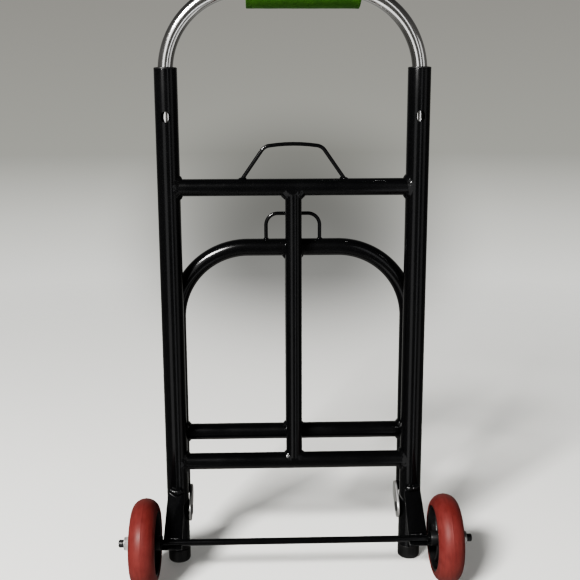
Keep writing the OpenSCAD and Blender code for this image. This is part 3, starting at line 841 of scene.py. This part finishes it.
def axle_nuts():
    """Two hexagon nuts. The corners of the outer face are turned down to a chamfer."""
    bm = bmesh.new()
    flats = size("axle_nuts").y / 2
    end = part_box("axle_nuts")[1].x
    start = end - NUT_H
    count = 96
    rows = [(start, 1.0), (end - 1.6 * MM, 1.0), (end - 0.8 * MM, 0.5), (end, 0.0)]
    for side in (LEFT, RIGHT):
        rings = []
        for along, hexagon in rows:
            ring = []
            for i in range(count):
                t = 2 * math.pi * i / count
                sector = (t + math.pi / 6) % (math.pi / 3) - math.pi / 6
                to_flat = flats / math.cos(sector)
                turned = flats * (0.965 if along == end else 1.04 - 0.04 * (1 - hexagon) * 2)
                r = to_flat if hexagon == 1.0 else min(to_flat, turned)
                ring.append(Vector((side * along, axle_y + r * math.cos(t), axle_z + r * math.sin(t))))
            rings.append(ring)
        for along in (end, start):
            centre = Vector((side * along, axle_y, axle_z))
            rings.append(circle_points(centre, Y_AXIS, Z_AXIS, axle_r, count))
        skin(bm, rings, closed=True)
    piece("wheel_nuts", bm, zinc_plate, "frame", ["axle_nuts"], sharp_angle=25)


def axle_caps():
    bm = bmesh.new()
    radius = size("axle_caps").z / 2
    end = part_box("axle_caps")[1].x
    start = end - CAP_H
    for side in (LEFT, RIGHT):
        corners = [(start, 1 * MM), (start, radius), (end, radius), (end, 1 * MM)]
        profile = rounded(corners, [0, 0.4 * MM, 1.6 * MM, 0], 6)
        solid_lathe(bm, profile, Vector((0, axle_y, axle_z)), Vector((side, 0, 0)), 48)
    piece("axle_end_caps", bm, plastic, "frame", ["axle_caps"])


# Handle --------------------------------------------------------------------------------------


def handle_tube():
    bm = bmesh.new()
    stations = bent_tube_stations(upright_x, handle_low, handle_top, HANDLE_BEND_R)
    sweep_tube(bm, stations, frame_y, handle_r, handle_r - WALL, count=96)
    obj = piece("handle_bar", bm, plating, "handle", ["handle_tube"])
    hole_r = size("snap_button_right").x / 2 - BUTTON_FLANGE
    for side in (LEFT, RIGHT):
        start = Vector((side * upright_x, frame_y - 2 * handle_r, button_z))
        combine(obj, cylinder(start, Y_AXIS, 2 * handle_r, hole_r), "DIFFERENCE")


def handle_grip():
    """A foam sleeve round the straight part of the bar and the start of its right bend. It bends
    less than the bar does."""
    low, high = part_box("handle_grip")
    outer = (high.y - low.y) / 2
    bore = handle_r + FIT
    steps = 46
    fine = math.radians(1)
    moves = [(GRIP_STRAIGHT, HANDLE_BEND_R, GRIP_BEND)]
    stations = [(low.x + GRIP_STRAIGHT * k / steps, handle_top, 0) for k in range(steps)]
    stations += drive(low.x, handle_top, 0, moves, fine)[1:]
    bend_x = upright_x - HANDLE_BEND_R
    end_x = stations[-1][0]
    bore_turn = math.asin((end_x - bend_x) / HANDLE_BEND_R)
    bore_moves = [(bend_x - low.x, HANDLE_BEND_R, bore_turn)]
    bore_stations = drive(low.x, handle_top, 0, bore_moves, fine)
    bm = bmesh.new()
    count = 128
    rings = []
    edge_r = 1.2 * MM
    quarter = [math.pi / 2 * k / 6 for k in range(7)]
    for t in quarter:
        rings.append(path_ring(stations[0], frame_y, outer - edge_r * (1 - math.sin(t)), count,
                               edge_r * (1 - math.cos(t))))
    between = [s for s in stations if low.x + 2 * edge_r < s[0] < end_x - 2 * edge_r]
    rings += [path_ring(s, frame_y, outer, count) for s in between]
    for t in reversed(quarter):
        rings.append(path_ring(stations[-1], frame_y, outer - edge_r * (1 - math.sin(t)), count,
                               -edge_r * (1 - math.cos(t))))
    outside = sum(len(ring) for ring in rings)
    rings += [path_ring(s, frame_y, bore, count) for s in reversed(bore_stations)]
    skin(bm, rings, closed=True)
    bm.verts.ensure_lookup_table()
    for v in bm.verts[:outside]:
        away = Vector((0, v.co.y - frame_y, v.co.z - handle_top))
        v.co += away.normalized() * 0.12 * MM * wobble(v.co, 9 * MM)
    piece("foam_grip", bm, foam, "handle", ["handle_grip"], sharp_angle=60)


def snap_button(name, side):
    low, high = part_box(f"snap_button_{name}")
    tip = frame_y - low.y
    back = frame_y - high.y
    flange = (high.x - low.x) / 2
    step = back + 1 * MM
    corners = [(back, PIN_R), (back, flange), (step, flange), (step, BUTTON_R), (tip, BUTTON_R),
               (tip, PIN_R)]
    profile = rounded(corners, [0, 0.2 * MM, 0.2 * MM, 0, 1.6 * MM, 0], 6)
    bm = bmesh.new()
    solid_lathe(bm, profile, Vector((side * upright_x, frame_y, button_z)), Vector((0, -1, 0)), 48)
    piece(f"{name}_snap_button", bm, plating, f"button_{name}", [f"snap_button_{name}"])


def button_spring(name):
    """A leaf bent into a hairpin behind the snap button, in one fixed shape; on the cart it closes up
    as the button is pressed.
    """
    node = f"button_spring_{name}"
    low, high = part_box(node)
    bend_r = (high.y - low.y) / 2
    centre = Vector((0, (low.y + high.y) / 2, high.z - bend_r))
    arc = [math.pi * i / 24 for i in range(25)]
    legs = [(1, 0), *[(math.cos(t), math.sin(t)) for t in arc], (-1, 0)]
    rings = []
    for i, (across, up) in enumerate(legs):
        ring = []
        for x, depth in ((low.x, 0), (high.x, 0), (high.x, SPRING_T), (low.x, SPRING_T)):
            reach = bend_r - depth
            z = low.z if i in (0, len(legs) - 1) else centre.z + up * reach
            ring.append((x, centre.y + across * reach, z))
        rings.append(ring)
    bm = bmesh.new()
    skin(bm, rings)
    leaf = piece(f"{name}_button_spring", bm, spring, "handle", [node])
    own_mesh(leaf)


# Platform ------------------------------------------------------------------------------------


def platform_arch():
    bm = bmesh.new()
    stations = bent_tube_stations(arch_x, arch_low, arch_top, ARCH_BEND_R)
    sweep_tube(bm, stations, platform_y, arch_r, arch_r - WALL, count=80, lip=0.4 * MM)
    piece("platform_arch_tube", bm, enamel, "platform", ["platform_arch"])


def hinge_plate(name):
    """A stamped plate with round ends and eased edges, square to X."""
    low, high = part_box(f"hinge_plate_{name}")
    bm = bmesh.new()
    up = Vector((0, math.cos(PLATE_LEAN), math.sin(PLATE_LEAN)))
    out = Vector((0, math.sin(PLATE_LEAN), -math.cos(PLATE_LEAN)))
    pivot = Vector((0, frame_y, pivot_z))
    steps = 32
    outline = []
    for centre, first in ((pivot + up * PLATE_REACH, 0), (pivot, math.pi)):
        for k in range(steps + 1):
            t = first + math.pi * k / steps
            outline.append(centre + PLATE_R * (out * math.cos(t) + up * math.sin(t)))
    eased = 0.45 * MM
    rings = []
    for x, inset in ((low.x, eased), (low.x + eased * 0.3, eased * 0.3), (low.x + eased, 0),
                     (high.x - eased, 0), (high.x - eased * 0.3, eased * 0.3), (high.x, eased)):
        ring = []
        for p in outline:
            nearest = pivot + up * min(max((p - pivot).dot(up), 0), PLATE_REACH)
            inward = (nearest - p).normalized()
            ring.append(Vector((x, 0, 0)) + p + inward * inset)
        rings.append(ring)
    skin(bm, rings)
    piece(f"{name}_hinge_plate", bm, zinc_plate, "platform", [f"hinge_plate_{name}"])


def platform_beads(tip_leg_x):
    bm = bmesh.new()
    for side in (LEFT, RIGHT):
        fillet(bm, Vector((side * arch_x, platform_y, platform_bar_z)), -side * X_AXIS, Z_AXIS,
               crossbar_r, arch_r, 3.4 * MM, 3.2 * MM, 18)
        fillet(bm, Vector((side * tip_leg_x, platform_y, arch_top)), Z_AXIS, X_AXIS,
               size("platform_tip_loop").y / 2, arch_r, 1.3 * MM, 1.2 * MM, 6)
        plate_beads(bm, side)
    fillet(bm, Vector((0, platform_y, platform_bar_z)), Z_AXIS, X_AXIS, centre_tube_r, crossbar_r,
           3.2 * MM, 3.0 * MM, 17)
    fillet(bm, Vector((0, platform_y, arch_top)), -Z_AXIS, X_AXIS, centre_tube_r, arch_r,
           3.6 * MM, 4.2 * MM, 16)
    piece("platform_weld_beads", bm, enamel, "platform", ["platform_welds"], sharp_angle=70)


def plate_beads(bm, side):
    """Two upright beads, before and behind the leg, where the plate meets it."""
    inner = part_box("hinge_plate_right")[1].x
    top = pivot_z + 24 * MM
    for direction in (-1, 1):
        gap = arch_x - inner
        y = platform_y + direction * math.sqrt(max(arch_r ** 2 - gap ** 2, 0)) * 0.75
        x = side * (inner + 0.8 * MM)
        low, high = arch_low + 1 * MM, top - 1 * MM
        bead(bm, [Vector((x, y, low + (high - low) * k / 24)) for k in range(25)], 1.5 * MM, 7)


# Wheels --------------------------------------------------------------------------------------


def tyre(name, side):
    """Half an ellipse in section, with a low mould line round its crown and a thin line moulded in
    each sidewall. It is seated on the rim."""
    low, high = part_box(f"rim_{name}")
    seat_r = (high.z - low.z) / 2 + 0.1 * MM
    seat_half = tyre_half - 1 * MM
    opening_r = seat_r - 1 * MM
    crown = wheel_r - opening_r
    profile = []
    steps = 72
    for k in range(steps + 1):
        t = math.pi * k / steps
        across = -tyre_half * math.cos(t)
        r = opening_r + crown * math.sin(t)
        ridge = 0.28 * MM * math.exp(-(across / (0.55 * MM)) ** 2)
        groove = 0.0
        for line in (-MOULD_LINE, MOULD_LINE):
            groove += 0.22 * MM * math.exp(-((across - line) / (0.5 * MM)) ** 2)
        profile.append((across, r - 0.28 * MM * math.sin(t) + ridge - groove))
    profile += [(seat_half, opening_r), (seat_half, seat_r), (-seat_half, seat_r),
                (-seat_half, opening_r)]
    bm = bmesh.new()
    lathe(bm, profile, Vector((side * wheel_x, axle_y, axle_z)), X_AXIS, 192)
    piece(f"{name}_red_tyre", bm, tread_rubber, f"wheel_{name}", [f"tyre_{name}"])


def rim(name, side):
    """A moulded rim: a ring with lips, a hub and curved spokes, joined into one solid."""
    low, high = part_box(f"rim_{name}")
    ring_r = (high.z - low.z) / 2
    ring_half = tyre_half - 1.1 * MM
    centre = Vector((side * wheel_x, axle_y, axle_z))
    axis = Vector((side, 0, 0))
    wall = 4 * MM
    inside_r = ring_r - wall
    corners = [(-ring_half, inside_r), (-ring_half, ring_r), (ring_half, ring_r),
               (ring_half, inside_r)]
    bm = bmesh.new()
    lathe(bm, rounded(corners, [1.4 * MM, 0.4 * MM, 0.4 * MM, 1.4 * MM]), centre, axis, 144)
    obj = piece(f"{name}_spoked_rim", bm, plastic, f"wheel_{name}", [f"rim_{name}"])
    reach = ring_r - wall / 2
    for k in range(SPOKES):
        combine(obj, spoke(centre, side, reach, k * 2 * math.pi / SPOKES + math.pi / 2), "UNION")
    inner = (low.x if side == RIGHT else -high.x) - wheel_x
    outer = (high.x if side == RIGHT else -low.x) - wheel_x
    bore = axle_r + FIT
    bm = bmesh.new()
    hub = [(inner, bore), (inner, HUB_R), (outer, HUB_R), (outer, bore)]
    lathe(bm, rounded(hub, [0.4 * MM, 1.2 * MM, 1.2 * MM, 0.4 * MM]), centre, axis, 96)
    combine(obj, tool(bm), "UNION")
    start = centre - X_AXIS * wheel_r
    combine(obj, cylinder(start, X_AXIS, 2 * wheel_r, bore), "DIFFERENCE")


def spoke(centre, side, reach, start_angle):
    """A curved blade with rounded edges, from inside the hub to inside the ring."""
    arc_r = reach * 0.8
    half = math.asin(reach / 2 / arc_r)
    arc_centre = Vector((reach / 2, -arc_r * math.cos(half)))
    blade_half = 11 * MM
    thick = 2.25 * MM
    round_r = 1.2 * MM
    corners = [(-blade_half, -thick), (blade_half, -thick), (blade_half, thick),
               (-blade_half, thick)]
    section = rounded(corners, [round_r] * 4, 4)
    rings = []
    steps = 20
    first = 0.19
    for k in range(steps + 1):
        share = first + (1 - first) * k / steps
        t = math.pi / 2 + half - 2 * half * share
        out = Vector((math.cos(t), math.sin(t)))
        ring = []
        for across, radial in section:
            flat = arc_centre + out * (arc_r + radial)
            turned = Matrix.Rotation(start_angle, 2) @ flat
            ring.append(centre + Vector((across, side * turned.y, turned.x)))
        rings.append(ring)
    bm = bmesh.new()
    skin(bm, rings)
    return tool(bm)


# Assembly ------------------------------------------------------------------------------------


def dress(node, material):
    """A CAD node that stays gets its procedural material."""
    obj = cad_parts[node]
    obj.data.materials.clear()
    obj.data.materials.append(material)


def build():
    for name, side in SIDES.items():
        upright(name, side)
        strap(name, side)
        foot(name, side)
        guide_bush(name, side)
        snap_button(name, side)
        hinge_plate(name)
        tyre(name, side)
        rim(name, side)
        dress(f"handle_slider_{name}", plastic)
        button_spring(name)
    crossbar("upper_crossbar_tube", "top_crossbar", "frame", frame_y, top_bar_z,
             upright_x, upright_r)
    crossbar("lower_crossbar_tube", "lower_crossbar", "frame", frame_y, lower_bar_z,
             upright_x, upright_r)
    crossbar("platform_crossbar_tube", "platform_crossbar", "platform", platform_y,
             platform_bar_z, arch_x, arch_r)
    centre_tube("frame_middle_tube", "frame_centre_tube", "frame", frame_y, lower_bar_z,
                top_bar_z, crossbar_r)
    centre_tube("platform_middle_tube", "platform_centre_tube", "platform", platform_y,
                platform_bar_z, arch_top, arch_r)
    frame_beads(top_loop())
    pivot_rivets()
    axle_rod()
    axle_washers()
    axle_nuts()
    axle_caps()
    handle_tube()
    handle_grip()
    platform_arch()
    platform_beads(tip_loop())


# Stage ---------------------------------------------------------------------------------------


def stage_floor():
    """A pale round floor that fades into the pale background, so that it has no edge."""
    s = Shader("pale_floor")
    # Painted light: the floor glows faintly of its own, which makes the cast shadows on it paler.
    s.set(Base_Color=(0.79, 0.79, 0.77, 1), Roughness=0.85, Specular_IOR_Level=0.15,
          Emission_Color=(1.0, 1.0, 0.97, 1), Emission_Strength=0.10)
    from_centre = s.tree.nodes.new("ShaderNodeVectorMath")
    from_centre.operation = "LENGTH"
    s.tree.links.new(s.place, from_centre.inputs[0])
    s.set(Alpha=s.spread(from_centre.outputs["Value"], 0.5, FLOOR_R, 1.0, 0.0))
    bm = bmesh.new()
    bmesh.ops.create_circle(bm, cap_ends=True, segments=64, radius=FLOOR_R)
    mesh = bpy.data.meshes.new("floor")
    bm.to_mesh(mesh)
    bm.free()
    mesh.materials.append(s.material)
    obj = bpy.data.objects.new("floor", mesh)
    bpy.context.scene.collection.objects.link(obj)
    obj.visible_glossy = False


def area_light(name, azimuth, distance, low, high, width, power, colour=(1, 1, 1)):
    """An upright soft box that faces the cart. Azimuth 0 is behind the camera, positive to the
    right, in degrees."""
    data = bpy.data.lights.new(name, "AREA")
    data.shape = "RECTANGLE"
    data.size = width
    data.size_y = high - low
    data.energy = power
    data.color = colour
    obj = bpy.data.objects.new(name, data)
    turn = math.radians(azimuth)
    place = Vector((math.sin(turn) * distance, -math.cos(turn) * distance, (low + high) / 2))
    obj.location = place
    obj.rotation_euler = (Vector((0, 0, 0.35)) - place).to_track_quat("-Z", "Y").to_euler()
    obj.visible_camera = False
    bpy.context.scene.collection.objects.link(obj)


def background():
    """The camera sees a pale backdrop with painted shade that darkens it upwards, and a soft shadow of
    the cart painted on it; the cart's surfaces mirror a dim room with a paler floor and the
    backdrop at its far side."""
    world = bpy.data.worlds.new("studio")
    world.use_nodes = True
    tree = world.node_tree
    graph = Graph(tree)

    def ramp(stops):
        """Colours by the height of the view direction, from -1 straight down to 1 straight up."""
        node = tree.nodes.new("ShaderNodeValToRGB")
        tree.links.new(graph.spread(parts.outputs["Z"], -1, 1), node.inputs["Fac"])
        while len(node.color_ramp.elements) < len(stops):
            node.color_ramp.elements.new(0.5)
        for element, (height, colour) in zip(node.color_ramp.elements, stops):
            element.position = (height + 1) / 2
            element.color = (*colour, 1)
        return node.outputs["Color"]

    direction = tree.nodes.new("ShaderNodeTexCoord").outputs["Generated"]
    parts = tree.nodes.new("ShaderNodeSeparateXYZ")
    tree.links.new(direction, parts.inputs["Vector"])

    room = tree.nodes["Background"]
    room_height = ramp([(-0.97, (0.50, 0.49, 0.47)), (-0.80, (0.30, 0.295, 0.285)),
                        (-0.5, (0.13, 0.127, 0.12)), (-0.05, (0.11, 0.107, 0.10)),
                        (0.25, (0.15, 0.145, 0.14)), (1.0, (0.03, 0.03, 0.03))])
    far_side = graph.spread(parts.outputs["Y"], 0.55, 0.95, 0.0, 0.85, "SMOOTHSTEP")
    tree.links.new(graph.blend(far_side, room_height, (0.42, 0.42, 0.40)), room.inputs["Color"])

    pale = tree.nodes.new("ShaderNodeBackground")
    # Painted shade: the backdrop's colour darkens from its bottom upwards, in place of a wall lit less
    # towards its top.
    backdrop = ramp([(-0.5, (0.95, 0.95, 0.92)), (-0.34, (0.86, 0.86, 0.83)),
                     (-0.17, (0.70, 0.70, 0.67)), (-0.11, (0.55, 0.55, 0.52)),
                     (-0.04, (0.33, 0.33, 0.305)), (0.12, (0.275, 0.27, 0.25))])
    # Painted shadow: the backdrop is darkened round one view direction behind the cart, as a soft
    # shadow of the cart; no shadow is cast there.
    place = tree.nodes.new("ShaderNodeMapping")
    place.vector_type = "TEXTURE"
    place.inputs["Location"].default_value = (0.035, 0.99, -0.145)
    place.inputs["Scale"].default_value = (0.20, 0.3, 0.15)
    tree.links.new(direction, place.inputs["Vector"])
    away = tree.nodes.new("ShaderNodeVectorMath")
    away.operation = "LENGTH"
    tree.links.new(place.outputs["Vector"], away.inputs[0])
    shade = graph.spread(away.outputs["Value"], 0.25, 1.15, 0.66, 0.0, "SMOOTHSTEP")
    tree.links.new(graph.blend(shade, backdrop, (0.0, 0.0, 0.0)), pale.inputs["Color"])

    choice = tree.nodes.new("ShaderNodeMixShader")
    rays = tree.nodes.new("ShaderNodeLightPath")
    tree.links.new(rays.outputs["Is Camera Ray"], choice.inputs["Fac"])
    tree.links.new(room.outputs["Background"], choice.inputs[1])
    tree.links.new(pale.outputs["Background"], choice.inputs[2])
    tree.links.new(choice.outputs["Shader"], tree.nodes["World Output"].inputs["Surface"])
    bpy.context.scene.world = world


def lights():
    area_light("key", -33, 3.5, 2.3, 3.1, 1.2, 350, (1.0, 0.99, 0.97))
    area_light("left_card", -30, 1.5, -1.3, 1.5, 0.75, 6.8)
    area_light("right_card", 23, 1.5, -1.3, 1.5, 0.33, 3.2, (0.97, 0.98, 1.0))
    area_light("side_card", 62, 1.8, -1.3, 1.4, 0.8, 4.0)


def camera():
    data = bpy.data.cameras.new("view")
    data.sensor_width = 36
    data.lens = 54.54
    obj = bpy.data.objects.new("view", data)
    pitch = math.radians(90 - 11.12)
    yaw = math.radians(-1.67)
    roll = math.radians(-0.228)
    turn = Matrix.Rotation(yaw, 4, "Z") @ Matrix.Rotation(pitch, 4, "X") @ Matrix.Rotation(roll, 4, "Z")
    obj.matrix_world = Matrix.Translation((-0.0362, frame_y - 1.0837, 0.5762)) @ turn
    bpy.context.scene.collection.objects.link(obj)
    bpy.context.scene.camera = obj


build()
stage_floor()
background()
lights()
camera()
bpy.context.scene.view_settings.view_transform = "AgX"
bpy.context.scene.view_settings.look = "AgX - High Contrast"
